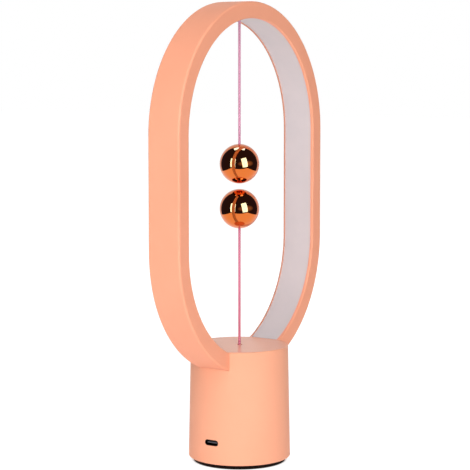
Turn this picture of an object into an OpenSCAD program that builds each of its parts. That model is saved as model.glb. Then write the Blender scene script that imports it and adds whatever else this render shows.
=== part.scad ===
// Magnetic balance lamp: an oval light ring on a round base, and two balls on cords.
// One ball hangs from the ring, the other stands on its cord from the base, and the
// magnets inside them hold both cords tight and keep the pull switch in the base on.
// Millimetres, +Z up, front towards -Y, origin at the middle of the base's underside.

/* [Ring] */
// Outer width of the oval ring
ring_w = 150; // [140:1:160]
// Outer height of the oval ring
ring_h = 214; // [200:1:230]
// Depth of the ring, from front to back
ring_depth = 21; // [20:0.5:23]
// Width of the rim, seen from the front
ring_rim = 9.6; // [9:0.1:11]
// Thickness of the rim's outer wall
ring_wall = 1.6; // [1.2:0.1:2]
// Thickness of the rim's front face
ring_front = 1.8; // [1.6:0.1:2.6]
// Thickness of the rim's back cover
ring_back = 2; // [1.8:0.1:2.6]
// Radius of the ring's rounded outer edges
ring_edge = 1.2; // [0.6:0.1:1.5]
// Radius of the front face's rounded inner edge
ring_inner_edge = 0.8; // [0.3:0.1:0.9]
// How far the ring dips below the top of the base
ring_sink = 15.5; // [14.5:0.5:16.5]
// Angle of the gap between the ring's two ends inside the base
ring_gap = 20; // [19:1:22]

/* [Light] */
// Thickness of the milky diffuser
diffuser_t = 1.2; // [1:0.1:1.6]
// How far the diffuser lies back from the rim's inner edges
diffuser_recess = 0.5; // [0.3:0.1:0.9]
// Depth of the groove that holds the diffuser's front edge
diffuser_groove = 0.9; // [0.6:0.1:1]
// Depth of the step in the back cover for the diffuser's back edge
diffuser_step = 1.2; // [0.9:0.1:1.3]
// Width of the flexible circuit that carries the light chips
strip_w = 8; // [6:0.5:10]
// Thickness of that circuit
strip_t = 0.4; // [0.3:0.1:0.6]
// Distance between the light chips along the ring
led_pitch = 16.6; // [12:0.2:22]
// Length of one light chip
led_l = 3.5; // [2.8:0.1:4]
// Width of one light chip
led_w = 2.8; // [2:0.1:3.5]
// Height of one light chip
led_h = 0.8; // [0.6:0.1:1.2]

/* [Base] */
// Diameter of the base at its lower edge
base_d = 59.5; // [58.5:0.5:62]
// Diameter of the base at its top
base_top_d = 56.8; // [56:0.1:58]
// Height of the base's top above the table
base_h = 68; // [66:1:75]
// Wall thickness of the base
base_wall = 2.2; // [1.8:0.1:2.4]
// Thickness of the base's top
base_top = 2.4; // [2:0.1:3]
// Radius of the rounded lower edge of the base
base_edge = 0.8; // [0.4:0.1:1.2]
// Radius of the rounded rim of the base's top
base_rim_edge = 0.4; // [0.2:0.1:0.5]
// Thickness of the rubber foot pad
pad_t = 2.5; // [1.5:0.1:3.5]
// How far the foot pad lies in from the edge of the base
pad_inset = 2.75; // [1.75:0.25:4]
// Thickness of the bottom cover
cover_t = 2; // [1.6:0.1:2.6]
// Diameter of the hole for the cord in the base's top
cord_hole_d = 3.4; // [3.2:0.1:4]
// Thickness of the steel ballast disc
ballast_t = 5; // [3:0.5:5.5]
// Gap between the ballast disc and the wall of the base
ballast_gap = 2.55; // [1.5:0.05:5]

/* [Balls and cords] */
// Diameter of the balls
ball_d = 23; // [20:0.5:24]
// Wall thickness of the balls
ball_wall = 1.5; // [1:0.1:2]
// Gap that the magnets keep between the balls
ball_gap = 3.1; // [2:0.1:6]
// Length of the lower cord that shows above the base
lower_cord_l = 68; // [60:1:72]
// Diameter of the cords
cord_d = 1.4; // [1:0.1:1.6]
// Diameter of the magnets
magnet_d = 10; // [8:0.5:11]
// Thickness of the magnets
magnet_t = 4; // [2:0.5:5]
// Diameter of the knots that hold the cords
knot_d = 3.2; // [2.8:0.1:3.6]

/* [Pull switch] */
// Travel of the slider that the lower cord pulls up
slider_travel = 2.5; // [1.5:0.1:3]
// Diameter of the slider
slider_d = 8; // [7.5:0.1:9]
// Length of the slider's body
slider_l = 9; // [8.5:0.5:10]
// Room for the spring above the lifted slider
spring_l = 5; // [4.6:0.1:5.4]
// Mean diameter of the return spring
spring_d = 5.6; // [5:0.1:6]
// Wire diameter of the return spring
spring_wire = 0.5; // [0.4:0.05:0.6]
// Turns of the return spring
spring_turns = 3.5; // [2.5:0.5:4]
// Length of the small snap switch
switch_l = 12.8; // [12:0.1:14]
// Thickness of the snap switch
switch_w = 5.8; // [5:0.1:6]
// Height of the snap switch's body
switch_h = 6.5; // [6:0.1:7]
// Thickness of the switch lever
lever_t = 0.4; // [0.3:0.05:0.5]
// Distance from the lever's pin to the slider's axis
lever_arm = 10.5; // [9.5:0.5:11]
// Distance from the lever's pin to the switch's plunger
plunger_arm = 4; // [3:0.5:5]

/* [Port and board] */
// Height of the charging port's middle above the table
port_z = 15; // [14.5:0.5:18]
// Width of the charging socket's metal shell
port_w = 8.94; // [8.9:0.01:9]
// Height of the charging socket's metal shell
port_h = 3.26; // [3.2:0.01:3.3]
// Thickness of the circuit board
board_t = 1.2; // [1:0.2:1.6]
// Gap between the circuit board and the wall of the base
board_gap = 2.05; // [1.6:0.05:2.5]

/* [Fits] */
// Gap between the ring and the openings that it sits in
ring_fit = 0.04; // [0.02:0.01:0.1]
// Gap around covers, plugs and magnets
cover_fit = 0.1; // [0.05:0.05:0.2]
// Radial gap between a screw and its hole
screw_fit = 0.02; // [0.01:0.01:0.05]
// Radial gap of parts that slide or turn
running_fit = 0.08; // [0.04:0.01:0.1]
// Gap between parts that press on each other in use
touch_gap = 0.1; // [0.08:0.01:0.15]
// Gap round a cord in the holes that it passes through
cord_fit = 0.2; // [0.1:0.05:0.3]

/* [Hidden] */
$fn = 96;

peach = [0.98, 0.62, 0.46];
milk = [0.93, 0.90, 0.90];
copper = [0.90, 0.50, 0.35];
cord_pink = [0.90, 0.50, 0.62];
rubber_black = [0.05, 0.05, 0.05];
steel = [0.62, 0.63, 0.65];
board_green = [0.05, 0.32, 0.18];
dark_plastic = [0.12, 0.12, 0.13];
white_plastic = [0.88, 0.88, 0.86];

// Ring: two half circles of ring_r joined by straights
ring_r = ring_w / 2;
ring_inner_r = ring_r - ring_rim;
ring_straight = ring_h - ring_w;
ring_bottom = base_h - ring_sink;
ring_cz = ring_bottom + ring_h / 2;
ring_high_c = ring_cz + ring_straight / 2;
ring_low_c = ring_cz - ring_straight / 2;
ring_top_inner = ring_bottom + ring_h - ring_rim;
ring_half = ring_depth / 2;
groove_r0 = ring_inner_r + diffuser_recess;
groove_r1 = groove_r0 + diffuser_t + cover_fit;
cover_r1 = ring_r - ring_wall - ring_fit;
snap_rib_w = 1.2;
snap_rib_l = 2;
small_edge = 0.3;
strip_r = ring_r - ring_wall;
chip_r = strip_r - strip_t;
chip_seat = 0.03;
half_path = ring_straight + (180 - ring_gap / 2) * PI / 180 * chip_r;
led_count = floor(half_path / led_pitch);

// Base: a slightly tapered can that stands on the pad
function base_r(z) = base_d / 2 + (base_top_d - base_d) / 2 * (z - pad_t) / (base_h - pad_t);
taper = atan((base_d - base_top_d) / 2 / (base_h - pad_t));
top_under = base_h - base_top;
cover_top = pad_t + cover_t;
cover_r = base_r(cover_top) - base_wall - cover_fit;
pad_r = base_d / 2 - pad_inset;
ballast_r = base_d / 2 - base_wall - ballast_gap;
board_r = base_d / 2 - base_wall - board_gap;
pad_edge = 0.5;
peg_r = 3;
peg_h = 4;
port_side = 0.4;
board_top = port_z - port_h / 2;
board_bottom = board_top - board_t;

// Posts for the bottom cover and the board, round the wall
post_turns = [0, 120, 240];
post_gap = 5.25;
post_ring_r = base_d / 2 - base_wall - post_gap;
post_r = 3;
post_web = 2.4;
screw_r = 1.1;
screw_head_r = 2.1;
screw_head_h = 1.4;
cover_screw_l = 4.6;
board_screw_l = 4.2;
recess_l = 2.2;
recess_w = 0.5;
recess_d = 0.7;

// Clamps that hold the ring's ends up against the pads under the base's top
ring_end_gap = 0.6;
ring_end_x = ring_r * sin(ring_gap / 2) + ring_end_gap;
clamp_w = 6;
clamp_mid = ring_end_x + clamp_w / 2;
clamp_t = 2;
clamp_drop = 0.4;
clamp_bottom = ring_bottom - clamp_t - clamp_drop;
clamp_boss_r = 2.8;
clamp_boss_gap = 0.8;
clamp_boss_y = ring_half + clamp_boss_r + clamp_boss_gap;
clamp_boss_z = clamp_bottom + clamp_t;
clamp_screw_l = 6;
ring_seat_gap = 6.2;
ring_seat_x = base_top_d / 2 - base_wall - ring_seat_gap;

// Cords: each leaves its hole at a bend, where it swings
bend_r = cord_d / 2;
bend_gap = 0.05;
lower_bend_rise = 0.6;
upper_bend_drop = 0.9;
lower_pivot = base_h + lower_bend_rise;
upper_pivot = ring_top_inner - upper_bend_drop;
lower_ball_z = base_h + lower_cord_l + ball_d / 2;
upper_ball_z = lower_ball_z + ball_d + ball_gap;
ball_r = ball_d / 2;
ball_inner_r = ball_r - ball_wall;
ball_hole_r = cord_d / 2 + cord_fit;
magnet_gap = 0.06;
magnet_seat = sqrt(pow(ball_inner_r, 2) - pow(magnet_d / 2, 2)) - magnet_gap;
cup_depth = 3;
cup_lid = 1.4;
knot_r = knot_d / 2;
knot_seat = 0.12;
knot_flat = sqrt(pow(ball_inner_r, 2) - pow(knot_r, 2)) - knot_seat;
cord_sides = 8;
anchor_r = 2.2;
anchor_flange_r = 3.4;
anchor_flange_t = 1.2;
anchor_top = ring_top_inner + diffuser_recess + diffuser_t + anchor_flange_t;

// Routes of the two free cords, both straight up: x, y and the share of the cord's height
lower_route = [
  [0, 0, 0], [0, 0, 0.05], [0, 0, 0.1], [0, 0, 0.15], [0, 0, 0.2], [0, 0, 0.25], [0, 0, 0.3],
  [0, 0, 0.35], [0, 0, 0.4], [0, 0, 0.45], [0, 0, 0.5], [0, 0, 0.55], [0, 0, 0.6], [0, 0, 0.65],
  [0, 0, 0.7], [0, 0, 0.75], [0, 0, 0.8], [0, 0, 0.85], [0, 0, 0.9], [0, 0, 0.95], [0, 0, 1]
];
upper_route = lower_route;

// Pull switch, hung under the base's top on the cord's axis
slider_r = slider_d / 2;
slider_top = top_under - spring_l;
slider_bottom = slider_top - slider_l;
guide_r = slider_r + running_fit;
guide_wall = 1.7;
guide_out_r = guide_r + guide_wall;
lip_top = slider_bottom - slider_travel - touch_gap;
lip_t = 1.6;
guide_bottom = lip_top - lip_t;
stem_r = 1.5;
stem_drop = 3;
guide_boss_y = 12.5;
guide_boss_r = 2.6;
guide_boss_h = 4;
guide_ear_t = 2;
guide_ear_w = 6;
guide_screw_l = 5.4;
lever_top = slider_bottom - slider_travel - touch_gap - lip_t - stem_drop;
nose_bottom = lever_top + touch_gap;
lever_angle = atan(slider_travel / lever_arm);
pin_z = lever_top - slider_travel - lever_t / 2;
pin_r = 0.6;
barrel_wall = 0.4;
barrel_r = pin_r + barrel_wall;
lever_tip = 2.4;
lever_w = 3.6;
lug_t = 0.5;
lug_r = 1.2;
switch_top = pin_z - barrel_r - touch_gap;
switch_bottom = switch_top - switch_h;
switch_end = 1.9;
switch_x0 = lever_arm + switch_end - switch_l;
plunger_x = lever_arm - plunger_arm;
plunger_r = 0.75;
plunger_l = 3;
plunger_travel = plunger_arm * tan(lever_angle);
plunger_top = pin_z + plunger_travel - lever_t / 2 / cos(lever_angle) - touch_gap;
switch_screw_in = [3.1, 9.6];
switch_screw_up = 1.8;
switch_screw_x = [for (x = switch_screw_in) switch_x0 + x];
switch_screw_z = switch_bottom + switch_screw_up;
switch_screw_r = 1;
switch_screw_head_r = 1.7;
shelf_t = 2;
terminal_l = 3.2;
terminal_w = 2.4;
terminal_t = 1.2;
terminal_in = [1.4, 6.4, 11.4];
terminal_x = [for (x = terminal_in) switch_x0 + x];
pocket_r = 1.8;
pocket_h = 3.4;
pocket_drop = 3;
pocket_top = slider_top - pocket_drop;

// Board parts, placed by how far they lie in from the board's edge, and wires
chip_x = 4.5;
chip_edge = 13.5;
chip_l = 5;
chip_w = 4;
chip_h = 1.5;
leg_pitch = 1.2;
leg_w = 0.4;
leg_l = 1.8;
leg_h = 0.5;
coil_edge = [18.5, 12.5];
coil_w = 6;
coil_h = 3;
coil_rim = 0.8;
cap_x = [-4, 3];
cap_edge = 11.5;
cap_r = 2.5;
cap_h = 6;
cap_foot = 0.6;
wire_r = 0.5;
socket_h = 4;
socket_l = 6;
socket_w = 4.6;
led_wire_x = -8.6;
led_wire_y = 1.4;
led_wire_bend = 1.5;
wire_lift = 0.12;
wire_lap = 0.4;
strip_end_z = ring_low_c - chip_r * cos(ring_gap / 2);
strip_end_x = chip_r * sin(ring_gap / 2);

// ---- shared shapes

// A flat oval of two half circles of radius r and the ring's straights
module oval(r) {
  translate([0, ring_straight / 2]) circle(r);
  translate([0, -ring_straight / 2]) circle(r);
  square([2 * r, ring_straight], center = true);
}

// The oval of radius r as a block from front to back, depth d
module oval_block(r, d) {
  translate([0, d / 2, ring_cz]) rotate([90, 0, 0]) linear_extrude(d) oval(r);
}

// A part turn of a profile about the ring's depth axis, from turn a0 over da degrees
module ring_arc(cz, a0, da) {
  translate([0, 0, cz]) rotate([90, 0, 0]) mirror([0, 0, 1]) rotate([0, 0, a0])
    rotate_extrude(angle = da) children();
}

// A profile of [radius, depth] swept round the open ring, with its gap at the bottom
module ring_sweep() {
  ring_arc(ring_high_c, 0, 180) children();
  for (side = [0, 1]) mirror([side, 0, 0]) {
    ring_arc(ring_low_c, 180, 90 - ring_gap / 2) children();
    translate([0, 0, ring_cz]) mirror([1, 0, 0]) linear_extrude(ring_straight, center = true) children();
  }
}

// What rounds a square corner off: the corner at the origin points to +X +Y
module corner_cut(r) {
  difference() {
    translate([-r, -r]) square(2 * r);
    translate([-r, -r]) circle(r, $fn = 48);
  }
}

// A slot with round ends, w wide and h high, along +X over l
module round_slot(w, h, l) {
  translate([0, -(w - h) / 2, -h / 2]) cube([l, w - h, h]);
  for (side = [-1, 1]) translate([0, side * (w - h) / 2, 0])
    rotate([0, 90, 0]) cylinder(r = h / 2, h = l);
}

// A screw with its head's underside at the origin and its shank towards +Z
module screw(r, head_r, l) {
  difference() {
    union() {
      cylinder(r = r, h = l, $fn = 32);
      translate([0, 0, -screw_head_h]) cylinder(r = head_r, h = screw_head_h, $fn = 48);
    }
    for (turn = [0, 90]) rotate([0, 0, turn]) translate([-recess_l / 2, -recess_w / 2, -screw_head_h - 1])
      cube([recess_l, recess_w, recess_d + 1]);
  }
}

// Puts its children at each post
module at_posts(z) {
  for (turn = post_turns) rotate([0, 0, turn]) translate([post_ring_r, 0, z]) children();
}

// Puts its children at each clamp screw
module at_clamp_screws(z) {
  for (sx = [-1, 1], sy = [-1, 1]) translate([sx * clamp_mid, sy * clamp_boss_y, z]) children();
}

// Puts its children at both guide screws
module at_guide_screws(z) {
  for (sy = [-1, 1]) translate([0, sy * guide_boss_y, z]) children();
}

// A tube along the points of a route that rises, r in radius
function tube_points(route, r, sides) = [
  for (p = route, k = [0 : sides - 1])
    [p[0] + r * cos(360 * k / sides), p[1] + r * sin(360 * k / sides), p[2]]
];
function tube_faces(rings, sides) = concat(
  [[for (k = [0 : sides - 1]) k]],
  [for (i = [0 : rings - 2], k = [0 : sides - 1], half = [0, 1])
    let (a = i * sides + k, b = i * sides + (k + 1) % sides)
    half == 0 ? [a, a + sides, b] : [b, a + sides, b + sides]],
  [[for (k = [sides - 1 : -1 : 0]) (rings - 1) * sides + k]]
);
module cord_tube(route, z0, z1) {
  points = [for (p = route) [p[0], p[1], z0 + p[2] * (z1 - z0)]];
  polyhedron(tube_points(points, cord_d / 2, cord_sides), tube_faces(len(route), cord_sides));
}

// A knot with a flat top at the origin, where the cord goes in, towards -Z
knot_dip = 0.8;
module knot() {
  intersection() {
    translate([0, 0, -knot_dip * knot_r]) sphere(knot_r, $fn = 48);
    translate([-knot_r, -knot_r, -2 * knot_r]) cube(2 * knot_r);
  }
}

// ---- the base

module base_outline() {
  corner_z = pad_t + base_edge;
  corner_x = base_r(corner_z) - base_edge / cos(taper);
  rim_z = base_h - base_rim_edge;
  rim_x = base_r(rim_z) - base_rim_edge / cos(taper);
  polygon([
    [0, pad_t], [corner_x, pad_t],
    [corner_x + base_edge * cos(taper), corner_z + base_edge * sin(taper)],
    [rim_x + base_rim_edge * cos(taper), rim_z + base_rim_edge * sin(taper)],
    [rim_x, base_h], [0, base_h]
  ]);
  translate([corner_x, corner_z]) circle(base_edge, $fn = 48);
  translate([rim_x, rim_z]) circle(base_rim_edge, $fn = 48);
}

module ring_room() {
  difference() {
    oval_block(ring_r + ring_fit, ring_depth + 2 * ring_fit);
    oval_block(ring_inner_r - ring_fit, ring_depth + 4 * ring_fit);
  }
}

module base_shell() {
  color(peach) difference() {
    union() {
      difference() {
        rotate_extrude() base_outline();
        rotate_extrude() polygon([
          [0, pad_t - 1], [base_r(pad_t - 1) - base_wall, pad_t - 1],
          [base_r(top_under) - base_wall, top_under], [0, top_under]
        ]);
      }
      at_posts(cover_top) cylinder(r = post_r, h = board_bottom - cover_top, $fn = 48);
      at_posts(cover_top) translate([0, -post_web / 2, 0])
        cube([base_r(board_bottom) - base_wall / 2 - post_ring_r, post_web, board_bottom - cover_top]);
      at_clamp_screws(clamp_boss_z)
        cylinder(r = clamp_boss_r, h = top_under + base_top / 2 - clamp_boss_z, $fn = 48);
      at_guide_screws(top_under - guide_boss_h)
        cylinder(r = guide_boss_r, h = guide_boss_h + base_top / 2, $fn = 48);
      for (side = [0, 1]) mirror([side, 0, 0])
        translate([ring_end_x, -ring_half, ring_bottom + ring_rim])
          cube([ring_seat_x - ring_end_x, ring_depth, base_h - base_top / 2 - ring_bottom - ring_rim]);
    }
    ring_room();
    translate([0, 0, top_under - 1]) cylinder(r = cord_hole_d / 2, h = base_top + 2);
    translate([-base_d, 0, port_z])
      round_slot(port_w + 2 * cover_fit, port_h + 2 * cover_fit, base_d - board_r);
    at_posts(cover_top - 1) cylinder(r = screw_r + screw_fit, h = board_bottom - cover_top + 2, $fn = 32);
    at_clamp_screws(clamp_boss_z - 1)
      cylinder(r = screw_r + screw_fit, h = clamp_screw_l - clamp_t + 2, $fn = 32);
    at_guide_screws(top_under - guide_boss_h - 1)
      cylinder(r = screw_r + screw_fit, h = guide_boss_h + 1, $fn = 32);
  }
}

module bottom_cover() {
  color(dark_plastic) difference() {
    union() {
      translate([0, 0, pad_t]) cylinder(r = cover_r, h = cover_t);
      translate([0, 0, cover_top]) cylinder(r = peg_r, h = peg_h, $fn = 48);
    }
    at_posts(pad_t - 1) cylinder(r = screw_r + screw_fit, h = cover_t + 2, $fn = 32);
    at_posts(pad_t - 1) cylinder(r = screw_head_r + cover_fit, h = 1 + screw_head_h, $fn = 48);
  }
}

module foot_pad() {
  color(rubber_black) rotate_extrude() difference() {
    square([pad_r, pad_t]);
    translate([pad_r, 0]) mirror([0, 1]) corner_cut(pad_edge);
  }
}

module ballast_weight() {
  color(steel) difference() {
    translate([0, 0, cover_top]) cylinder(r = ballast_r, h = ballast_t);
    translate([0, 0, cover_top - 1]) cylinder(r = peg_r + cover_fit, h = ballast_t + 2, $fn = 48);
    at_posts(cover_top - 1) cylinder(r = post_r + 4 * cover_fit, h = ballast_t + 2, $fn = 48);
    at_posts(cover_top - 1) translate([0, -post_r, 0]) cube([post_ring_r, 2 * post_r, ballast_t + 2]);
  }
}

module cover_screws() {
  color(steel) at_posts(pad_t + screw_head_h) screw(screw_r, screw_head_r, cover_screw_l);
}

module main_board() {
  color(board_green) difference() {
    translate([0, 0, board_bottom]) cylinder(r = board_r, h = board_t);
    at_posts(board_bottom - 1) cylinder(r = screw_r + screw_fit, h = board_t + 2, $fn = 32);
  }
}

module board_screws() {
  color(steel) at_posts(board_top) mirror([0, 0, 1]) screw(screw_r, screw_head_r, board_screw_l);
}

socket_mouth = base_r(port_z) - port_side;
socket_depth = 7.3;
socket_wall = 0.3;

module usb_socket() {
  color(steel) difference() {
    translate([-socket_mouth, 0, port_z]) round_slot(port_w, port_h, socket_depth);
    translate([-socket_mouth - 1, 0, port_z])
      round_slot(port_w - 2 * socket_wall, port_h - 2 * socket_wall, socket_depth + 1 - socket_wall);
  }
}

// The tongue stands on a block that fills the back of the socket
tongue_w = 6.7;
tongue_t = 0.7;
tongue_back = 1;
tongue_block = 1.9;
tongue_fit = 0.02;

module usb_tongue() {
  block_x = -socket_mouth + socket_depth - socket_wall - tongue_fit - tongue_block;
  color(dark_plastic) {
    translate([-socket_mouth + tongue_back, -tongue_w / 2, port_z - tongue_t / 2])
      cube([block_x + socket_mouth - tongue_back + 1, tongue_w, tongue_t]);
    translate([block_x, 0, port_z]) round_slot(port_w - 2 * (socket_wall + tongue_fit),
      port_h - 2 * (socket_wall + tongue_fit), tongue_block);
  }
}

module driver_chip() {
  color(dark_plastic) translate([chip_x, chip_edge - board_r, board_top]) {
    translate([-chip_l / 2, -chip_w / 2, 0]) cube([chip_l, chip_w, chip_h]);
    for (i = [-1.5 : 1.5], side = [-1, 1])
      translate([i * leg_pitch - leg_w / 2, side * chip_w / 2 - leg_l / 2, 0]) cube([leg_w, leg_l, leg_h]);
  }
}

module inductor() {
  color(dark_plastic) translate([coil_edge[0] - board_r, coil_edge[1] - board_r, board_top]) {
    translate([-coil_w / 2, -coil_w / 2, 0]) cube([coil_w, coil_w, coil_rim]);
    cylinder(r = coil_w / 2 - coil_rim, h = coil_h, $fn = 48);
    translate([0, 0, coil_h - coil_rim]) cylinder(r = coil_w / 2, h = coil_rim, $fn = 48);
  }
}

module capacitors() {
  color(steel) for (x = cap_x) translate([x, board_r - cap_edge, board_top]) {
    cylinder(r = cap_r, h = cap_h, $fn = 48);
    translate([-cap_r, -cap_r, 0]) cube([2 * cap_r, 2 * cap_r, cap_foot]);
  }
}

// One socket for the light strip's wires and one for the switch's
module wire_sockets() {
  switch_wire_run = terminal_x[1] - terminal_x[0];
  color(white_plastic) {
    translate([led_wire_x - socket_w / 2, -socket_l / 2, board_top]) cube([socket_w, socket_l, socket_h]);
    translate([terminal_x[0] - socket_w / 2, -socket_w / 2, board_top])
      cube([switch_wire_run + socket_w, socket_w, socket_h]);
  }
}

// ---- the ring

module shell_profile() {
  difference() {
    union() {
      translate([strip_r, -ring_half]) square([ring_wall, ring_depth]);
      translate([ring_inner_r, -ring_half]) square([ring_rim, ring_front]);
    }
    translate([groove_r0, -ring_half + ring_front - diffuser_groove])
      square([groove_r1 - groove_r0, diffuser_groove + 1]);
    translate([ring_r, -ring_half]) mirror([0, 1]) corner_cut(ring_edge);
    translate([ring_r, ring_half]) corner_cut(ring_edge);
    translate([ring_inner_r, -ring_half]) mirror([1, 0]) mirror([0, 1]) corner_cut(ring_inner_edge);
  }
}

module ring_shell() {
  color(peach) ring_sweep() shell_profile();
}

module back_profile() {
  difference() {
    union() {
      translate([ring_inner_r, ring_half - ring_back]) square([cover_r1 - ring_inner_r, ring_back]);
      translate([cover_r1 - snap_rib_w, ring_half - ring_back - snap_rib_l])
        square([snap_rib_w, snap_rib_l + 1]);
    }
    translate([ring_inner_r - 1, ring_half - ring_back - 1])
      square([groove_r1 - ring_inner_r + 1, diffuser_step + 1]);
    translate([ring_inner_r, ring_half]) mirror([1, 0]) corner_cut(small_edge);
  }
}

module ring_back_cover() {
  color(peach) ring_sweep() back_profile();
}

diffuser_front = -ring_half + ring_front - diffuser_groove + cover_fit / 2;
diffuser_back = ring_half - ring_back + diffuser_step - cover_fit / 2;

module diffuser() {
  color(milk) difference() {
    ring_sweep() translate([groove_r0 + cover_fit / 2, diffuser_front])
      square([diffuser_t, diffuser_back - diffuser_front]);
    translate([0, 0, ring_top_inner - 1])
      cylinder(r = anchor_r + cover_fit, h = diffuser_recess + diffuser_t + 2, $fn = 48);
  }
}

module led_strip() {
  color(white_plastic) ring_sweep() translate([chip_r, -strip_w / 2]) square([strip_t, strip_w]);
}

// Puts its children on the ring's inside at path length s from the top, facing inwards
module on_ring(s) {
  quarter = PI / 2 * chip_r;
  if (s < quarter)
    translate([0, 0, ring_high_c]) rotate([0, s / chip_r * 180 / PI, 0])
      translate([0, 0, chip_r]) children();
  else if (s < quarter + ring_straight)
    translate([chip_r, 0, ring_high_c - s + quarter]) rotate([0, 90, 0]) children();
  else
    translate([0, 0, ring_low_c]) rotate([0, 90 + (s - quarter - ring_straight) / chip_r * 180 / PI, 0])
      translate([0, 0, chip_r]) children();
}

module led_chips() {
  color([0.98, 0.93, 0.62]) for (side = [0, 1], i = [0 : led_count - 1]) mirror([side, 0, 0])
    on_ring((i + 0.5) * led_pitch) translate([-led_l / 2, -led_w / 2, -led_h - chip_seat])
      cube([led_l, led_w, led_h]);
}

module ring_clamps() {
  color(dark_plastic) for (side = [0, 1]) mirror([side, 0, 0]) difference() {
    union() {
      translate([ring_end_x, -ring_half, clamp_bottom]) cube([clamp_w, ring_depth, ring_sink - base_top]);
      translate([ring_end_x, -clamp_boss_y - clamp_boss_r, clamp_bottom])
        cube([clamp_w, 2 * (clamp_boss_y + clamp_boss_r), clamp_t]);
    }
    oval_block(ring_r + ring_fit, ring_depth + 2 * ring_fit);
    for (sy = [-1, 1]) translate([clamp_mid, sy * clamp_boss_y, clamp_bottom - 1])
      cylinder(r = screw_r + screw_fit, h = clamp_t + 2, $fn = 32);
  }
}

module clamp_screws() {
  color(steel) at_clamp_screws(clamp_bottom) screw(screw_r, screw_head_r, clamp_screw_l);
}

// ---- the upper ball on its cord

module cord_anchor() {
  color(white_plastic) difference() {
    union() {
      translate([0, 0, ring_top_inner]) cylinder(r = anchor_r, h = anchor_top - ring_top_inner, $fn = 48);
      translate([0, 0, anchor_top - anchor_flange_t + cover_fit / 2])
        cylinder(r = anchor_flange_r, h = anchor_flange_t - cover_fit / 2, $fn = 48);
    }
    translate([0, 0, ring_top_inner - 1])
      cylinder(r = cord_d / 2 + cord_fit, h = anchor_top - ring_top_inner + 2, $fn = 32);
  }
}

module anchor_knot() {
  color(cord_pink) {
    translate([0, 0, upper_pivot + bend_r + bend_gap])
      cylinder(r = cord_d / 2, h = anchor_top + touch_gap - upper_pivot - bend_r - bend_gap, $fn = 32);
    translate([0, 0, anchor_top + touch_gap]) mirror([0, 0, 1]) knot();
  }
}

module upper_cord_bend() {
  color(cord_pink) translate([0, 0, upper_pivot]) sphere(bend_r, $fn = 32);
}

module upper_cord() {
  color(cord_pink) cord_tube(upper_route, upper_ball_z + knot_flat, upper_pivot - bend_r - bend_gap);
}

// A hollow ball round the origin, with the hole for its cord at the top
module ball() {
  difference() {
    sphere(ball_r);
    sphere(ball_inner_r);
    cylinder(r = ball_hole_r, h = ball_r + 1, $fn = 32);
  }
}

// The magnet lies in the ball's wall opposite the cord
module magnet() {
  translate([0, 0, -magnet_seat]) cylinder(r = magnet_d / 2, h = magnet_t, $fn = 64);
}

// The cup that keeps the magnet in its seat
module magnet_cup() {
  difference() {
    intersection() {
      sphere(ball_inner_r - cover_fit / 2);
      translate([-ball_r, -ball_r, magnet_t - magnet_seat - cup_depth])
        cube([ball_d, ball_d, cup_depth + cup_lid]);
    }
    translate([0, 0, -ball_r]) cylinder(r = magnet_d / 2 + cover_fit,
      h = ball_r - magnet_seat + magnet_t + cover_fit, $fn = 64);
  }
}

module upper_ball() {
  color(copper) translate([0, 0, upper_ball_z]) ball();
}

module upper_ball_knot() {
  color(cord_pink) translate([0, 0, upper_ball_z + knot_flat]) knot();
}

module upper_magnet() {
  color(steel) translate([0, 0, upper_ball_z]) magnet();
}

module upper_magnet_cup() {
  color(white_plastic) translate([0, 0, upper_ball_z]) magnet_cup();
}

// ---- the lower ball on its cord

module lower_cord_bend() {
  color(cord_pink) translate([0, 0, lower_pivot]) sphere(bend_r, $fn = 32);
}

module lower_cord() {
  color(cord_pink) cord_tube(lower_route, lower_pivot + bend_r + bend_gap, lower_ball_z - knot_flat);
}

module lower_ball() {
  color(copper) translate([0, 0, lower_ball_z]) mirror([0, 0, 1]) ball();
}

module lower_ball_knot() {
  color(cord_pink) translate([0, 0, lower_ball_z - knot_flat]) mirror([0, 0, 1]) knot();
}

module lower_magnet() {
  color(steel) translate([0, 0, lower_ball_z]) mirror([0, 0, 1]) magnet();
}

module lower_magnet_cup() {
  color(white_plastic) translate([0, 0, lower_ball_z]) mirror([0, 0, 1]) magnet_cup();
}

// ---- the pull switch

module switch_guide() {
  color(white_plastic) difference() {
    union() {
      translate([0, 0, guide_bottom]) cylinder(r = guide_out_r, h = top_under - guide_bottom);
      translate([-guide_ear_w / 2, -guide_boss_y - guide_ear_w / 2, top_under - guide_boss_h - guide_ear_t])
        cube([guide_ear_w, 2 * guide_boss_y + guide_ear_w, guide_ear_t]);
      translate([switch_x0, switch_w / 2, switch_bottom])
        cube([switch_l, shelf_t, lip_top - switch_bottom]);
    }
    translate([0, 0, lip_top]) cylinder(r = guide_r, h = top_under - lip_top + 1);
    translate([0, 0, guide_bottom - 1]) cylinder(r = stem_r + running_fit, h = lip_t + 2, $fn = 48);
    at_guide_screws(top_under - guide_boss_h - guide_ear_t - 1)
      cylinder(r = screw_r + screw_fit, h = guide_ear_t + 2, $fn = 32);
    for (x = switch_screw_x) translate([x, switch_w / 2 - 1, switch_screw_z]) rotate([-90, 0, 0])
      cylinder(r = switch_screw_r + screw_fit, h = shelf_t + 2, $fn = 32);
  }
}

module guide_screws() {
  color(steel) at_guide_screws(top_under - guide_boss_h - guide_ear_t)
    screw(screw_r, screw_head_r, guide_screw_l);
}

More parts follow.
